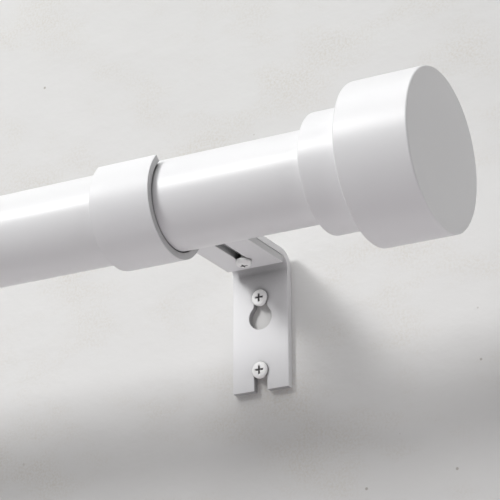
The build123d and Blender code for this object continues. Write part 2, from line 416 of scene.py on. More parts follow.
# %% White powder coat
# Painted shade: the grey given to cut faces and to the walls of holes and slots.
CUT_FACE_SHADE = (0.52, 0.52, 0.525)
PLATE_CUT_FACE_SHADE = (0.36, 0.36, 0.365)
THIN_SHARE = 0.93
GLOSS_SPREAD = 0.06
# Painted shadow: the plate's front is darkened where the cradle arm lies close above it.
UNDER_ARM_SHADOW = {"Reach": 22 * MM, "Open": 0.9, "Shut": 0.3}
FACES_FRONT = (-0.4, -0.9)


def painted_shadow_under_arm(tree):
    """A painted-shadow mask on front faces, by how near they lie under the arm above them."""
    normal = add_node(tree, "ShaderNodeTexCoord").outputs["Normal"]
    towards_wall = add_node(tree, "ShaderNodeSeparateXYZ", Vector=normal).outputs["Y"]
    near = group_node(tree, CREVICE_SHADE, **UNDER_ARM_SHADOW).outputs["Deep"]
    return combine_values(tree, "MULTIPLY", ramp_between(tree, towards_wall, *FACES_FRONT), near)


def white_coat(label, tones, gloss, peel_scale, peel_depth, slots, painted_shade_colour=(0.14, 0.14, 0.145),
               shine=0.5, cut_shade=CUT_FACE_SHADE, on_wall=False):
    """White paint: its two tones, lowest roughness, skin, and its painted shade in slots and on cuts."""
    bright, shade = tones
    depth, open_share, shut_share = slots
    material, tree, shader, place = new_material(label)
    skin = group_node(tree, COAT_SKIN, Place=place, Peel_Scale=peel_scale)
    edge = group_node(tree, THIN_EDGE).outputs["Edge"]
    deep = group_node(tree, OWN_CREVICE_SHADE if on_wall else CREVICE_SHADE, Reach=depth, Open=open_share,
                      Shut=shut_share).outputs["Deep"]
    if on_wall:
        deep = combine_values(tree, "MAXIMUM", deep, painted_shadow_under_arm(tree))
    # Painted shade: the faces marked "cut" are painted grey.
    cut = add_node(tree, "ShaderNodeAttribute", {"attribute_name": "cut"}).outputs["Fac"]
    drifted = mix_colours(tree, skin.outputs["Drift"], bright, shade)
    thinned = mix_colours(tree, edge, drifted, [THIN_SHARE * tone for tone in bright])
    shaded_cuts = mix_colours(tree, cut, thinned, cut_shade)
    rough = ramp_between(tree, skin.outputs["Drift"], 0.0, 1.0, gloss, gloss + GLOSS_SPREAD)
    # Painted shade: deep places are mixed towards the near-black shade colour.
    feed(tree, shader.inputs["Base Color"], mix_colours(tree, deep, shaded_cuts, painted_shade_colour))
    feed(tree, shader.inputs["Roughness"], rough)
    feed(tree, shader.inputs["Specular IOR Level"], shine)
    add_bump(tree, shader, skin.outputs["Peel"], peel_depth)
    return material


print("cut faces:", CUT_FACE_SHADE, "and on a plate:", PLATE_CUT_FACE_SHADE)

# %% The four white paints
STRAP_TONES = ((0.77, 0.77, 0.775), (0.745, 0.745, 0.755))
STRAP_SKIN = {"gloss": 0.44, "peel_scale": 1300.0, "peel_depth": 0.006 * MM}

# Painted shade: each coat's slots set how far its crevice shade reaches; the arm's slot and the screws'
# crosses are painted near black.
POWDER_COAT = white_coat("white powder coat", ((0.76, 0.76, 0.765), (0.735, 0.735, 0.745)),
                         gloss=0.34, peel_scale=1500.0, peel_depth=0.004 * MM,
                         slots=(4 * MM, 0.5, 0.2))
PLATE_COAT = white_coat("white plate coat", STRAP_TONES, slots=(12 * MM, 0.6, 0.3),
                        cut_shade=PLATE_CUT_FACE_SHADE, on_wall=True, **STRAP_SKIN)
ARM_COAT = white_coat("white arm coat", STRAP_TONES, slots=(12 * MM, 0.6, 0.38),
                      painted_shade_colour=(0.08, 0.08, 0.08), **STRAP_SKIN)
SCREW_PAINT = white_coat("white screw paint", ((0.92, 0.92, 0.91), (0.89, 0.89, 0.88)),
                         gloss=0.38, peel_scale=2200.0, peel_depth=0.003 * MM,
                         slots=(2.6 * MM, 0.8, 0.4), painted_shade_colour=(0.03, 0.03, 0.03), shine=1.0)
print("white paints:", [coat.name for coat in (POWDER_COAT, PLATE_COAT, ARM_COAT, SCREW_PAINT)])

# %% [markdown]
# The collar, the glide ring and the plugs in the finials are moulded plastic, which the
# photograph hardly shows. It is smoother than the coat, with a fine spark-eroded
# texture. The nuts are zinc plated: bright, cold, and clouded where the bath dried.

# %% Moulded plastic and zinc
SCRATCHES = (6000.0, 1.0, 0.5)


def moulded_plastic():
    """White nylon with a fine even texture from the mould."""
    material, tree, shader, place = new_material("moulded white plastic")
    skin = group_node(tree, COAT_SKIN, Place=place, Peel_Scale=4200.0, Drift_Scale=40.0)
    tone = mix_colours(tree, skin.outputs["Drift"], (0.80, 0.80, 0.785), (0.765, 0.765, 0.75))
    rough = ramp_between(tree, skin.outputs["Peel"], 0.0, 1.0, to_low=0.42, to_high=0.55)
    feed(tree, shader.inputs["Base Color"], tone)
    feed(tree, shader.inputs["Roughness"], rough)
    feed(tree, shader.inputs["IOR"], 1.53)
    add_bump(tree, shader, skin.outputs["Peel"], 0.003 * MM)
    return material


def zinc_plate():
    """Bright zinc on steel, with the clouds and fine scratches of tumbled screws."""
    material, tree, shader, place = new_material("bright zinc plate")
    skin = group_node(tree, COAT_SKIN, Place=place, Peel_Scale=900.0, Drift_Scale=320.0)
    edge = group_node(tree, THIN_EDGE, Width=0.2 * MM).outputs["Edge"]
    cloud = mix_colours(tree, skin.outputs["Drift"], (0.66, 0.67, 0.69), (0.52, 0.53, 0.56))
    rough = ramp_between(tree, skin.outputs["Drift"], 0.0, 1.0, to_low=0.26, to_high=0.44)
    feed(tree, shader.inputs["Base Color"], mix_colours(tree, edge, cloud, (0.78, 0.78, 0.79)))
    feed(tree, shader.inputs["Roughness"], rough)
    feed(tree, shader.inputs["Metallic"], 1.0)
    add_bump(tree, shader, noise(tree, place, *SCRATCHES), 0.002 * MM)
    return material


PLASTIC = moulded_plastic()
ZINC = zinc_plate()
print("other finishes:", PLASTIC.name, ZINC.name)

# %% [markdown]
# The tubes, the finials and the screw heads are all round, as if turned on a lathe. A
# circle is added at the first station of the profile, and its edge is extruded from
# station to station: each time it is moved along X and then resized about its own
# middle. The rims are then bevelled, because a rim that is bent or coated is never
# sharp, and its thin highlight is what tells the eye where one form ends.

# %% Turning on the lathe
RING_TOLERANCE = 0.02 * MM
ROUND_SIDES = 128


def turned(rings, sides=ROUND_SIDES, hollow=False):
    """Joins rings of (distance, radius) along +X; a hollow profile ends where it began."""
    distance, radius = rings[0]
    bpy.ops.object.select_all(action="DESELECT")
    bpy.ops.mesh.primitive_circle_add(vertices=sides, radius=radius, fill_type="NOTHING",
                                      location=(distance, 0, 0), rotation=(0, radians(90), 0))
    obj = bpy.context.object
    bpy.ops.object.transform_apply(location=True, rotation=True)
    edit(obj)
    for (before, old), (after, new) in zip(rings, rings[1:]):
        bpy.ops.mesh.extrude_region_move(TRANSFORM_OT_translate={"value": (after - before, 0, 0)})
        bpy.ops.transform.resize(value=(1, new / old, new / old), center_override=(after, 0, 0))
    bpy.ops.mesh.select_all(action="SELECT")
    if hollow:
        bpy.ops.mesh.remove_doubles(threshold=MERGE_DISTANCE)
    else:
        bpy.ops.mesh.fill_holes(sides=0)
    return close(obj)


def round_rims(obj, rims, segments=5):
    """Bevels the rings at each (distance, radius) by a width."""
    edit(obj)
    for distance, radius, width in rims:
        pick_edges(obj, lambda point: abs(point.x - distance) < RING_TOLERANCE
                   and abs(point.yz.length - radius) < RING_TOLERANCE)
        bpy.ops.mesh.bevel(offset=width, segments=segments, affect="EDGES", clamp_overlap=False)
    return close(obj)


def along_rod(obj, start):
    """Seats a turned piece on the rod's axis, with its first end at the start."""
    return seat(obj, (start, rod_middle.y, rod_middle.z))


print("the rod's axis is", round(-rod_middle.y / MM, 2), "mm in front of the wall")

# %% The two tubes
TUBE_SIDES = 160
TUBE_WALL = 0.6 * MM
TUBE_EDGE = 0.2 * MM


def dressed_tube(node):
    """A drawn steel tube over its CAD node, with its cut edges broken."""
    length, across, _ = reach(node)
    outside = across / 2
    inside = outside - TUBE_WALL
    obj = turned([(0, outside), (length, outside), (length, inside), (0, inside), (0, outside)],
                 sides=TUBE_SIDES, hollow=True)
    round_rims(obj, [(0, outside, TUBE_EDGE), (length, outside, TUBE_EDGE)], segments=3)
    along_rod(obj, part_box(node)[0].x)
    dress(obj, node, POWDER_COAT)


dressed_tube("outer_tube")
dressed_tube("inner_tube")

# %% [markdown]
# The outer tube's mouth has a plastic collar that the inner tube runs in. It has a
# short sleeve inside the tube and a lip over the tube's edge. Only the lip shows, so
# its outer edge gets the care.

# %% The collar
COLLAR_LIP = 1.5 * MM
COLLAR_RADIUS = 0.5 * MM
GUIDE_GAP = 0.3 * MM
PRESS_GAP = 0.05 * MM

collar_length = reach("outer_tube_collar").x
collar_bore = inner_radius + GUIDE_GAP
sleeve_radius = rod_radius - TUBE_WALL - PRESS_GAP
collar = turned([(0, collar_bore), (0, rod_radius), (COLLAR_LIP, rod_radius),
                 (COLLAR_LIP, sleeve_radius), (collar_length, sleeve_radius),
                 (collar_length, collar_bore), (0, collar_bore)], hollow=True)
round_rims(collar, [(0, rod_radius, COLLAR_RADIUS), (0, collar_bore, COLLAR_RADIUS)])
along_rod(collar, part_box("outer_tube_collar")[0].x)
dress(collar, "outer_tube_collar", PLASTIC)

# %% [markdown]
# A finial is pressed from sheet as one shell: a neck that sleeves the rod's end, a
# step out, a wide drum and a flat face. Pressing leaves a soft radius on every rim,
# seen in the photograph as a thin bright line left of the neck and of the drum. The
# profile goes along the outside from the flat face to the mouth and back along the
# inside, so the shell has its real wall.

# %% The finials
NECK_RADIUS = 24.65 * MM
NECK_LENGTH = 19.0 * MM
SHELL_WALL = 1.2 * MM
RIM_RADIUS = 0.8 * MM
MOUTH_RADIUS = 0.4 * MM
INNER_CORNER = 1.0 * MM


def finial():
    """The pressed shell of the rod's right end."""
    length = reach("right_finial").x
    inner_cap = cap_radius - SHELL_WALL
    inner_neck = NECK_RADIUS - SHELL_WALL
    inner_step = NECK_LENGTH + SHELL_WALL
    obj = turned([(length, cap_radius), (NECK_LENGTH, cap_radius), (NECK_LENGTH, NECK_RADIUS),
                  (0, NECK_RADIUS), (0, inner_neck), (inner_step, inner_neck),
                  (inner_step, inner_cap), (length - SHELL_WALL, inner_cap)], sides=TUBE_SIDES)
    round_rims(obj, [(length, cap_radius, RIM_RADIUS), (NECK_LENGTH, cap_radius, RIM_RADIUS),
                     (NECK_LENGTH, NECK_RADIUS, INNER_CORNER), (0, NECK_RADIUS, MOUTH_RADIUS),
                     (0, inner_neck, MOUTH_RADIUS)])
    return along_rod(obj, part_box("right_finial")[0].x)


dress_each(finial(), both("finial"), POWDER_COAT, turn=radians(180))

# %% [markdown]
# The holes in the bracket are slots and a keyhole. Each is symmetric, so only its
# right half is drawn: a plane is merged to one vertex, which is swept along straight
# lines and round arcs. A Mirror modifier makes the other half, and the closed outline
# is filled and extruded to a cutter for a Boolean. Without a window the spin tool
# turns the other way, so the angle is given with its sign changed.

# %% Sweeping lines and arcs
ARC_STEP = 4.0
FINE_ARC_STEP = 2.5


def sweep(angle, centre, axis, step=ARC_STEP):
    """Spins what is selected round a centre by an angle in degrees."""
    steps = max(2, round(abs(angle) / step))
    bpy.ops.mesh.spin(steps=steps, angle=radians(-angle), center=centre, axis=axis)


def draw_half(start, moves):
    """Draws lines ("line", across, up) and arcs ("arc", centre, degrees) from a start point."""
    bpy.ops.object.select_all(action="DESELECT")
    bpy.ops.mesh.primitive_plane_add(size=MM, location=(*start, 0))
    obj = bpy.context.object
    bpy.ops.object.transform_apply(location=True)
    edit(obj)
    bpy.ops.mesh.merge(type="CENTER")
    for kind, first, second in moves:
        if kind == "line":
            bpy.ops.mesh.extrude_region_move(TRANSFORM_OT_translate={"value": (first, second, 0)})
        else:
            sweep(second, (*first, 0), (0, 0, 1))
    bpy.ops.object.mode_set(mode="OBJECT")
    return obj


def hole_cutter(start, moves, depth):
    """A closed cutter from half an outline, as deep as asked to both sides of its plane."""
    obj = draw_half(start, moves)
    apply_modifier(obj, "MIRROR", use_axis=(True, False, False), merge_threshold=MERGE_DISTANCE)
    edit(obj)
    bpy.ops.mesh.remove_doubles(threshold=MERGE_DISTANCE)
    bpy.ops.mesh.edge_face_add()
    bpy.ops.transform.translate(value=(0, 0, -depth))
    bpy.ops.mesh.extrude_region_move(TRANSFORM_OT_translate={"value": (0, 0, 2 * depth)})
    return close(obj)


print("arcs go in steps of", ARC_STEP, "degrees, and of", FINE_ARC_STEP, "where they show")

# %% [markdown]
# The wall plate is one strap of steel: a leg on the wall, a bend and an arm. It is
# made as it is bent. A plane with the strap's cross-section is extruded up the leg,
# spun round the bend's centre and extruded along the arm. Then the keyhole, the open
# foot slot and the arm's slot are cut, and every edge is rounded as the coat rounds it.
# Last, the faces that the shears and the punch made are marked for the coat, which paints them grey as
# painted shade.

# %% A bent strap and its holes
STRAP = 3.2 * MM
STRAP_EDGE = 0.35 * MM
BEND_INSIDE = 5.0 * MM
HANG_SLOT = 6.3 * MM
SCREW_NECK = 3.6 * MM
HANG_GAP = 0.1 * MM
KEYHOLE_RADIUS = 5.6 * MM
KEYHOLE_DROP = 8.9 * MM
KEYHOLE_BLEND = 3.5 * MM
CLAMP_SLOT = 4.7 * MM
CLAMP_TRAVEL = 38.0 * MM
SLOT_MARGIN = 0.5 * MM
CUTTER_DEPTH = 2 * STRAP
FLAT_LEAN = 0.35
SIDE_LEAN = 0.9


def section(location, turn):
    """A face with the strap's width and thickness, ready to be extruded."""
    bpy.ops.object.select_all(action="DESELECT")
    bpy.ops.mesh.primitive_plane_add(size=1, location=location, rotation=turn)
    obj = bpy.context.object
    obj.scale = (strap_width, STRAP, 1)
    bpy.ops.object.transform_apply(location=True, rotation=True, scale=True)
    edit(obj)
    return obj


def mark_cut_shade(obj, gets_cut_shade):
    """Writes 1 in the attribute "cut" on the faces that the shears and the punch made, to be painted grey
    as shade.
    """
    cut = obj.data.attributes.new("cut", "FLOAT", "FACE")
    for face in obj.data.polygons:
        cut.data[face.index].value = float(gets_cut_shade(face.center, face.normal))


def push(along_y, along_z):
    """Extrudes the selected end of the strap."""
    bpy.ops.mesh.extrude_region_move(TRANSFORM_OT_translate={"value": (0, along_y, along_z)})


def stadium(length, width):
    """Start and moves of half a slot with round ends, middle at the origin."""
    radius, straight = width / 2, length - width
    return (0, -length / 2), [("arc", (0, -straight / 2), 90), ("line", 0, straight),
                              ("arc", (0, straight / 2), 90)]


def keyhole(screw_to_round):
    """Start and moves of half a keyhole, with the screw's slot top as its origin."""
    half, blend = HANG_SLOT / 2, KEYHOLE_BLEND
    centre = (0, -screw_to_round)
    rise = sqrt((KEYHOLE_RADIUS + blend) ** 2 - (half + blend) ** 2)
    lean = atan2(rise, half + blend)
    blend_centre = (half + blend, centre[1] + rise)
    return (0, centre[1] - KEYHOLE_RADIUS), [
        ("arc", centre, 90 + degrees(lean)), ("arc", blend_centre, -degrees(lean)),
        ("line", 0, -blend_centre[1]), ("arc", (0, 0), 90)]


print("the strap is", round(strap_width / MM, 2), "mm wide and", STRAP / MM, "mm thick")

# %% The wall plates
def wall_plate():
    """The L-shaped plate of the right bracket, with its keyhole and slots."""
    lowest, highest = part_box("right_wall_plate")
    x, foot, top, free_end = middle("right_wall_plate").x, lowest.z, highest.z, lowest.y
    outer = BEND_INSIDE + STRAP
    obj = section((x, -STRAP / 2, foot), (0, 0, 0))
    push(0, top - outer - foot)
    sweep(90, (x, -outer, top - outer), (1, 0, 0))
    push(free_end + outer, 0)
    close(obj)
    slot_drop = (HANG_SLOT - SCREW_NECK) / 2 - HANG_GAP
    upper = middle("right_wall_screw_upper").z - slot_drop
    lower = middle("right_wall_screw_lower").z - slot_drop
    facing = (radians(90), 0, 0)
    keyhole_cutter = hole_cutter(*keyhole(KEYHOLE_DROP - slot_drop), CUTTER_DEPTH)
    combine(obj, seat(keyhole_cutter, (x, 0, upper), facing), "DIFFERENCE")
    foot_length = 2 * (lower - foot) + HANG_SLOT
    foot_middle = lower + HANG_SLOT / 2 - foot_length / 2
    foot_cutter = hole_cutter(*stadium(foot_length, HANG_SLOT), CUTTER_DEPTH)
    combine(obj, seat(foot_cutter, (x, 0, foot_middle), facing), "DIFFERENCE")
    arm_slot_length = CLAMP_TRAVEL + 2 * SLOT_MARGIN + CLAMP_SLOT
    arm_slot = hole_cutter(*stadium(arm_slot_length, CLAMP_SLOT), CUTTER_DEPTH)
    slot_y = middle("right_clamp_nut").y - CLAMP_TRAVEL / 2
    combine(obj, seat(arm_slot, (x, slot_y, top)), "DIFFERENCE")
    soften(obj, STRAP_EDGE)

    def gets_cut_shade(at, normal):
        """True on the foot and the free end, and in every hole, but not on the long sides."""
        flat = 1.0
        if at.z < top - outer:
            flat = normal.y
        elif at.y < -outer:
            flat = normal.z
        return abs(flat) < FLAT_LEAN and abs(at.x - x) < strap_width / 2 - STRAP_EDGE

    mark_cut_shade(obj, gets_cut_shade)
    return obj


dress_each(wall_plate(), both("wall_plate"), PLATE_COAT)

# %% [markdown]
# The cradle arm is the same strap, bent as a hook for the rod: along the arm, a tight
# bend down, a short run and a long arc under the rod and up its front to a cut lip.
# The rod rests on the arc's bottom. Its own slot lets the bracket be set deeper or
# less deep before the clamp screw is drawn up.

# %% The cradle arms
CRADLE_INSIDE = 19.65 * MM
SLIDE_GAP = 0.3 * MM
LIP_ANGLE = 45.0
ARM_BEND_INSIDE = 3.0 * MM
ARM_SLOT_RUN = 36.0 * MM


def cradle_arm():
    """The slotted strap of the right bracket, bent into the hook that holds the rod."""
    lowest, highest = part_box("right_cradle_arm")
    x, wall_end = middle("right_cradle_arm").x, highest.y
    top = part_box("right_wall_plate")[1].z - STRAP - SLIDE_GAP
    hook_y, hook_z = rod_middle.y, lowest.z + STRAP + CRADLE_INSIDE
    bend = ARM_BEND_INSIDE + STRAP
    bend_y, bend_z = hook_y + CRADLE_INSIDE + bend, top - bend
    obj = section((x, wall_end, top - STRAP / 2), (radians(90), 0, 0))
    push(bend_y - wall_end, 0)
    sweep(90, (x, bend_y, bend_z), (1, 0, 0))
    push(0, hook_z - bend_z)
    sweep(-(180 + LIP_ANGLE), (x, hook_y, hook_z), (1, 0, 0), step=FINE_ARC_STEP)
    close(obj)
    clamp_y = middle("right_clamp_nut").y
    slot = hole_cutter(*stadium(ARM_SLOT_RUN + CLAMP_SLOT, CLAMP_SLOT), CUTTER_DEPTH)
    combine(obj, seat(slot, (x, clamp_y - ARM_SLOT_RUN / 2, top)), "DIFFERENCE")
    soften(obj, STRAP_EDGE)

    def gets_cut_shade(at, normal):
        """True on the strap's long sides and, on the straight run, in the slot and at the end."""
        return abs(normal.x) > SIDE_LEAN or (at.y > bend_y and abs(normal.z) < FLAT_LEAN)

    mark_cut_shade(obj, gets_cut_shade)
    return obj


dress_each(cradle_arm(), both("cradle_arm"), ARM_COAT)

# %% [markdown]
# A screw thread is a ridge that climbs as it turns, so it is made that way. One pitch
# of its outline is drawn from vertex to vertex, and a Screw modifier turns it round
# the axis while it moves along by one pitch a turn. The turns are merged to one skin,
# and two bisecting planes cut the ends square and close them. A wood screw's thread
# also narrows to a point, so its last turns are drawn in towards the axis.

# %% Cutting threads
THREAD_STEPS = 28
CREST_SHARE = 0.12
TIP_SHARE = 0.12
SPARE_TURNS = 4
CUT_TOLERANCE = 0.0001 * MM


def thread_skin(outer, root, pitch, start, end, point=0.0):
    """A closed threaded rod along +X, from start to end, narrowing over a point if asked."""
    turns = int((end - start) / pitch) + SPARE_TURNS
    flat, rise = CREST_SHARE * pitch, outer - root
    bpy.ops.object.select_all(action="DESELECT")
    bpy.ops.mesh.primitive_plane_add(size=MM, location=(start - 2 * pitch, 0, root))
    obj = bpy.context.object
    bpy.ops.object.transform_apply(location=True)
    edit(obj)
    bpy.ops.mesh.merge(type="CENTER")
    flank = (pitch - 3 * flat) / 2
    for along, up in ((2 * flat, 0), (flank, rise), (flat, 0), (flank, -rise)):
        bpy.ops.mesh.extrude_region_move(TRANSFORM_OT_translate={"value": (along, 0, up)})
    bpy.ops.object.mode_set(mode="OBJECT")
    apply_modifier(obj, "SCREW", axis="X", angle=radians(360), screw_offset=pitch,
                   iterations=turns, steps=THREAD_STEPS, render_steps=THREAD_STEPS)
    edit(obj)
    bpy.ops.mesh.remove_doubles(threshold=MERGE_DISTANCE)
    bpy.ops.mesh.normals_make_consistent(inside=False)
    for place, direction in ((start, -1), (end, 1)):
        bpy.ops.mesh.select_all(action="SELECT")
        bpy.ops.mesh.bisect(plane_co=(place, 0, 0), plane_no=(direction, 0, 0),
                            use_fill=True, clear_outer=True, threshold=CUT_TOLERANCE)
    bpy.ops.object.mode_set(mode="OBJECT")
    for vertex in obj.data.vertices:
        if point and vertex.co.x > end - point:
            narrow = max(TIP_SHARE, (end - vertex.co.x) / point)
            vertex.co.y *= narrow
            vertex.co.z *= narrow
    edit(obj)
    return close(obj)


print("a thread's turn has", THREAD_STEPS, "steps")

# %% [markdown]
# A screw head is turned like the other round parts, with a low crown, and a cross is
# sunk in it. The cross is a cube whose four sides are extruded to wings and whose
# bottom is drawn in, as the driver's tip is. The small edges are rounded last, so that
# they catch the light as lacquered edges do.

# %% Heads with a cross recess
WING = 0.45 * MM
CROSS_SHARE = 0.56
CROSS_DEPTH = 1.1 * MM
CROSS_DRAFT = 0.55
POINTS_ALONG = 0.9
CROWN_FLAT = 0.4
CROWN_ANGLES = range(0, 91, 15)
HEAD_EDGE = 0.06 * MM
HEAD_SIDES = 64
SHANK_SIDES = 48


def cross_cutter(head_radius):
    """A drafted cross that cuts into a head whose top is at the origin, facing -X."""
    bpy.ops.object.select_all(action="DESELECT")
    bpy.ops.mesh.primitive_cube_add(size=2 * WING, location=(0, 0, 0))
    obj = bpy.context.object
    edit(obj)
    bpy.ops.transform.resize(value=(CROSS_DEPTH / WING, 1, 1), center_override=(0, 0, 0))
    for axis in ("y", "z"):
        for direction in (1, -1):
            pick_faces(obj, lambda place, normal: getattr(normal, axis) * direction > POINTS_ALONG
                       and max(abs(place.y), abs(place.z)) < WING + MERGE_DISTANCE)
            move = [0, 0, 0]
            move["xyz".index(axis)] = direction * (CROSS_SHARE * head_radius - WING)
            bpy.ops.mesh.extrude_region_move(TRANSFORM_OT_translate={"value": move})
    for direction, share in ((1, CROSS_DRAFT), (-1, 2 - CROSS_DRAFT)):
        pick_faces(obj, lambda place, normal: normal.x * direction > POINTS_ALONG)
        bpy.ops.transform.resize(value=(1, share, share),
                                 center_override=(direction * CROSS_DEPTH, 0, 0))
    return close(obj)


def pan_head(radius, height):
    """A low crowned head from -X to its flat underside, with its cross."""
    edge = height / 2
    crown = [(edge * (1 - sin(radians(turn))), radius - edge * (1 - cos(radians(turn))))
             for turn in CROWN_ANGLES]
    obj = turned([(height, radius)] + crown + [(0, CROWN_FLAT * radius)], sides=HEAD_SIDES)
    combine(obj, cross_cutter(radius), "DIFFERENCE")
    soften(obj, HEAD_EDGE, segments=2)
    return obj


def whole_screw(head, neck, thread, point=0.0):
    """A screw in one skin, of (radius, height), (radius, end) and (crest, root, pitch, end)."""
    head_radius, head_height = head
    neck_radius, neck_end = neck
    crest, root, pitch, end = thread
    obj = pan_head(head_radius, head_height)
    overlap = head_height / 3
    shank = turned([(head_height - overlap, neck_radius), (neck_end, neck_radius)], sides=SHANK_SIDES)
    combine(obj, shank, "UNION")
    combine(obj, thread_skin(crest, root, pitch, neck_end - overlap, end, point), "UNION")
    return weld(obj)


print("crosses:", round(CROSS_DEPTH / MM, 2), "mm deep, wings", round(2 * WING / MM, 2), "mm wide")

# %% Wall screws and clamp screws
WALL_HEAD_HEIGHT = 1.5 * MM
WALL_THREAD_START = 0.2 * MM
WALL_THREAD = 2.1 * MM
WALL_ROOT = 1.45 * MM
WALL_PITCH = 1.8 * MM
WALL_POINT = 6.0 * MM
CLAMP_HEAD_HEIGHT = 2.8 * MM
CLAMP_THREAD = 2.0 * MM
CLAMP_ROOT = 1.62 * MM
CLAMP_PITCH = 0.7 * MM
CLAMP_NECK = 0.5 * MM


def wall_screw():
    """The right bracket's upper wall screw, its head outwards and its point in the wall."""
    node = "right_wall_screw_upper"
    across, length, _ = reach(node)
    obj = whole_screw((across / 2, WALL_HEAD_HEIGHT),
                      (SCREW_NECK / 2, WALL_HEAD_HEIGHT + STRAP + WALL_THREAD_START),
                      (WALL_THREAD, WALL_ROOT, WALL_PITCH, length), WALL_POINT)
    return seat(obj, (middle(node).x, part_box(node)[0].y, middle(node).z), (0, 0, radians(90)))


def clamp_screw():
    """The right clamp screw, its head down and its end through the nut."""
    node = "right_clamp_screw"
    obj = whole_screw((max(reach(node).xy) / 2, CLAMP_HEAD_HEIGHT),
                      (CLAMP_ROOT, CLAMP_HEAD_HEIGHT + CLAMP_NECK),
                      (CLAMP_THREAD, CLAMP_ROOT, CLAMP_PITCH, reach(node).z))
    return seat(obj, (middle(node).x, middle(node).y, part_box(node)[0].z), (0, radians(-90), 0))


wall_screw_nodes = ("right_wall_screw_upper", "right_wall_screw_lower",
                    "left_wall_screw_upper", "left_wall_screw_lower")
dress_each(wall_screw(), wall_screw_nodes, SCREW_PAINT)
dress_each(clamp_screw(), both("clamp_screw"), SCREW_PAINT)

# %% [markdown]
# The nut is a hexagon with its corners turned off at both ends. A six-sided prism is
# trimmed by a double cone, and a hole is cut that clears the screw's crests. Only a
# thin ring of light on the turned corners says nut, so the cones are kept true.

# %% Nuts
NUT_TURN_OFF = radians(30)
NUT_FACE_SHARE = 0.98
NUT_BORE = 2.05 * MM
NUT_EDGE = 0.08 * MM
CONE_SIDES = 96
BORE_SIDES = 64


def nut():
    """The hexagon nut on the right plate's arm; prism and bore pass the ends, so no faces meet."""
    node = "right_clamp_nut"
    height = reach(node).z
    across_flats = min(reach(node).xy)
    corner = across_flats / sqrt(3)
    waist = across_flats / 2 + height / 2 / tan(NUT_TURN_OFF)
    face_radius = across_flats / 2 * NUT_FACE_SHARE
    obj = turned([(-height, corner), (2 * height, corner)], sides=6)
    cones = turned([(0, face_radius), (height / 2, waist), (height, face_radius)], sides=CONE_SIDES)
    combine(obj, cones, "INTERSECT")
    bore = turned([(-height, NUT_BORE), (2 * height, NUT_BORE)], sides=BORE_SIDES)
    combine(obj, bore, "DIFFERENCE")
    soften(obj, NUT_EDGE, segments=2)
    weld(obj)
    return seat(obj, (middle(node).x, middle(node).y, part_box(node)[1].z), (0, radians(90), 0))


dress_each(nut(), both("clamp_nut"), ZINC)

# %% [markdown]
# Two kinds of part are kept as the CAD made them, because hardly anything of them
# shows: the glide ring deep in the tube and the moulded plugs in the finials' necks.
# Their meshes are left alone and only get the plastic.

# %% Parts kept from the frame
for kept_node in ("inner_tube_glide", *both("finial_insert")):
    kept = frame["nodes"][kept_node]
    kept.data.materials.clear()
    kept.data.materials.append(PLASTIC)
    print(kept_node, "keeps its mesh and gets", PLASTIC.name)

# %% [markdown]
# The room is a pale plastered wall, which the bracket is screwed to, and a pale floor
# below. Both are seen from the front only: from behind or below their faces let all
# light through, so that the back of the object can be looked at too. They also let rays
# through that come from a face touching them, or a plate's back would be black. Plaster
# is drawn on with a trowel, mostly in one slant: its tone drifts in long clouds, sandy
# streaks show where it was scraped thin, and here and there an air bubble leaves a pore.

# %% Plaster
CONTACT = 0.05 * MM
TROWEL_SLANT = radians(35)
STROKE_STRETCH = 1.7
CLOUDS = (9.0, 5.0, 0.6)
CLOUD_SHARE = (0.32, 0.68)
SCRAPES = (17.0, 4.0, 0.6)
SCRAPE_SHARE = (0.48, 0.66)
SAND = (850.0, 2.0, 0.6)
SAND_SHARE = (0.40, 0.66)
WAVES = (26.0, 6.0, 0.5)
BUBBLE_SCALE = 75.0
PORE_COLOUR = (0.46, 0.44, 0.41)
PORE_RIM = (0.06, 0.035)
PORE_SHARE = (0.58, 0.60)


def pass_from_behind(tree, shader):
    """Lets light and sight pass a face that is met from its back or by a part touching it."""
    surface = shader.outputs["BSDF"].links[0].to_socket
    behind = add_node(tree, "ShaderNodeNewGeometry").outputs["Backfacing"]
    travelled = add_node(tree, "ShaderNodeLightPath").outputs["Ray Length"]
    touching = combine_values(tree, "LESS_THAN", travelled, CONTACT)
    mix = add_node(tree, "ShaderNodeMixShader", Fac=combine_values(tree, "MAXIMUM", behind, touching))
    feed(tree, mix.inputs[1], shader.outputs["BSDF"])
    feed(tree, mix.inputs[2], add_node(tree, "ShaderNodeBsdfTransparent").outputs["BSDF"])
    feed(tree, surface, mix.outputs["Shader"])


def plaster(label, bright, shade, sand, wave_depth):
    """Trowelled pale plaster, one-sided."""
    material, tree, shader, place = new_material(label)
    strokes = add_node(tree, "ShaderNodeMapping", Vector=place, Rotation=(0, TROWEL_SLANT, 0),
                       Scale=(1, 1, STROKE_STRETCH)).outputs["Vector"]
    clouds = ramp_between(tree, noise(tree, strokes, *CLOUDS), *CLOUD_SHARE)
    scraped = ramp_between(tree, noise(tree, strokes, *SCRAPES), *SCRAPE_SHARE)
    grains = ramp_between(tree, noise(tree, place, *SAND), *SAND_SHARE)
    bubbles = add_node(tree, "ShaderNodeTexVoronoi", Vector=place, Scale=BUBBLE_SCALE).outputs
    draw = add_node(tree, "ShaderNodeSeparateColor", Color=bubbles["Color"]).outputs["Red"]
    pores = combine_values(tree, "MULTIPLY", ramp_between(tree, bubbles["Distance"], *PORE_RIM),
                           ramp_between(tree, draw, *PORE_SHARE))
    drifted = mix_colours(tree, clouds, bright, shade)
    streaked = mix_colours(tree, combine_values(tree, "MULTIPLY", scraped, grains), drifted, sand)
    feed(tree, shader.inputs["Base Color"], mix_colours(tree, pores, streaked, PORE_COLOUR))
    feed(tree, shader.inputs["Roughness"], 0.85)
    feed(tree, shader.inputs["Specular IOR Level"], 0.2)
    add_bump(tree, shader, noise(tree, strokes, *WAVES), wave_depth)
    pass_from_behind(tree, shader)
    return material


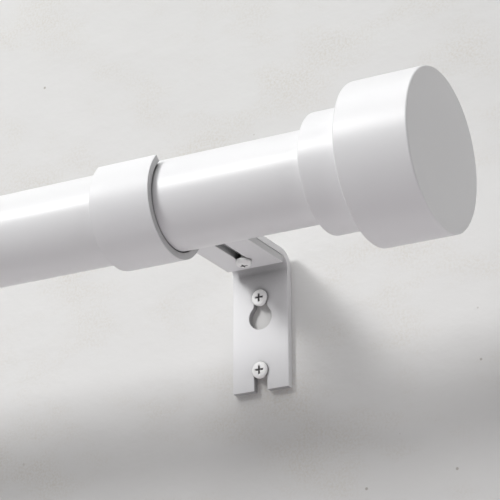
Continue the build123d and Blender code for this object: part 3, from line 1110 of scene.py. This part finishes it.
WALL_PLASTER = plaster("pale wall plaster", (0.73, 0.728, 0.718), (0.705, 0.702, 0.692),
                       (0.66, 0.64, 0.60), 0.8 * MM)
FLOOR_PAINT = plaster("pale floor paint", (0.74, 0.74, 0.73), (0.71, 0.71, 0.70),
                      (0.69, 0.68, 0.66), 0.2 * MM)
print("room finishes:", WALL_PLASTER.name, FLOOR_PAINT.name)

# %% Wall and floor
STAGE_SIZE = 2.2
FLOOR_DEPTH = 0.95
STAGE_X = (cad_box[0][0] + cad_box[1][0]) / 2


def stage_plane(name, location, turn, material):
    """A large one-sided face that isn't part of the object."""
    bpy.ops.object.select_all(action="DESELECT")
    bpy.ops.mesh.primitive_plane_add(size=STAGE_SIZE, location=location, rotation=turn)
    obj = bpy.context.object
    obj.name = name
    bpy.ops.object.transform_apply(location=True, rotation=True)
    obj.data.materials.append(material)
    return obj


wall_height = STAGE_SIZE / 2 - FLOOR_DEPTH
wall = stage_plane("room_wall", (STAGE_X, 0, wall_height), (radians(90), 0, 0), WALL_PLASTER)
floor = stage_plane("room_floor", (STAGE_X, -STAGE_SIZE / 2, -FLOOR_DEPTH), (0, 0, 0), FLOOR_PAINT)
print("stage:", wall.name, floor.name)

# %% [markdown]
# The photograph looks up at the right bracket from below and from the right, with a
# long lens. Its angles were found by fitting the outlines of the rod, the finial and
# the bracket's leg, so the camera is placed by those numbers and needs no aiming.

# %% Camera
CAMERA_AZIMUTH = radians(28.58)
CAMERA_RISE = radians(20.70)
CAMERA_ROLL = radians(-0.157)
CAMERA_PLACE = Vector((0.44499, -0.82940, -0.31510))
CAMERA_SENSOR = 36.0
CAMERA_LENS = 162.07
CAMERA_NEAREST = 0.05

camera_data = bpy.data.cameras.new("photo camera")
camera_data.sensor_width = CAMERA_SENSOR
camera_data.lens = CAMERA_LENS
camera_data.clip_start = CAMERA_NEAREST
camera = bpy.data.objects.new("photo camera", camera_data)
bpy.context.scene.collection.objects.link(camera)
aim = (Matrix.Rotation(CAMERA_AZIMUTH, 4, "Z") @ Matrix.Rotation(radians(90) + CAMERA_RISE, 4, "X")
       @ Matrix.Rotation(CAMERA_ROLL, 4, "Z"))
camera.matrix_world = Matrix.Translation(CAMERA_PLACE) @ aim
bpy.context.scene.camera = camera
print("camera at", [round(part, 3) for part in CAMERA_PLACE])

# %% [markdown]
# The key lamp stands in front of the wall, above and to the left. Its size sets how
# soft the shadows on the wall are: the rod's shadow melts into a broad band, while the
# bracket's, which lies close to the wall, keeps its edge. A larger lamp high above
# lights the tops of the round parts, a weak one at the right opens the finial's face,
# another below gives the undersides their breath of lavender, one behind the wall shows
# the backs of the plates, and the room adds a little light from all sides. All are kept
# so low that only the brightest line of the white coat comes near to pure white. The
# camera, mirrors and glass see the room as a plain pale backdrop instead.

# %% Lamps
WHITE = (1.0, 1.0, 1.0)
LAVENDER = (1.0, 0.82, 1.0)
KEY_DISTANCE = 2.2
LAMPS = {
    "key lamp": (Vector((-0.63, -1.0, 0.70)).normalized() * KEY_DISTANCE, 0.5, 29.0, WHITE),
    "top lamp": (Vector((-0.3, -0.9, 1.8)), 1.5, 25.0, WHITE),
    "side lamp": (Vector((2.0, -0.6, 0.1)), 1.5, 7.0, WHITE),
    "low lamp": (Vector((0.2, -0.25, -0.85)), 0.8, 1.0, LAVENDER),
    "back lamp": (Vector((-0.3, 2.0, 0.4)), 1.5, 30.0, WHITE),
}


def soft_lamp(name, offset, size, power, tint):
    """A square lamp of a size in metres, set off from the right bracket and facing it."""
    data = bpy.data.lights.new(name, "AREA")
    data.shape, data.size, data.energy, data.color = "SQUARE", size, power, tint
    lamp = bpy.data.objects.new(name, data)
    bpy.context.scene.collection.objects.link(lamp)
    lamp.location = middle("right_cradle_arm") + offset
    lamp.rotation_euler = (-offset).to_track_quat("-Z", "Y").to_euler()


for name, (offset, size, power, tint) in LAMPS.items():
    soft_lamp(name, offset, size, power, tint)
    print(name, "at", [round(part, 2) for part in offset], "m from the right bracket,", power, "W")

# %% The room's own light
ROOM_LIGHT = 0.12
BACKDROP = (0.80, 0.80, 0.79, 1.0)

world = bpy.data.worlds.new("pale room")
bpy.context.scene.world = world
world.use_nodes = True
air = world.node_tree
air.nodes.clear()
rays = add_node(air, "ShaderNodeLightPath").outputs
seen_directly = rays["Is Camera Ray"]
for kind in ("Is Glossy Ray", "Is Transmission Ray"):
    seen_directly = combine_values(air, "MAXIMUM", seen_directly, rays[kind])
backdrop = add_node(air, "ShaderNodeBackground", Color=BACKDROP, Strength=1.0)
glow = add_node(air, "ShaderNodeBackground", Color=(*WHITE, 1.0), Strength=ROOM_LIGHT)
choice = add_node(air, "ShaderNodeMixShader", Fac=seen_directly)
feed(air, choice.inputs[1], glow.outputs["Background"])
feed(air, choice.inputs[2], backdrop.outputs["Background"])
add_node(air, "ShaderNodeOutputWorld", Surface=choice.outputs["Shader"])
bpy.context.scene.view_settings.view_transform = "Standard"
print("the room gives light at", ROOM_LIGHT)
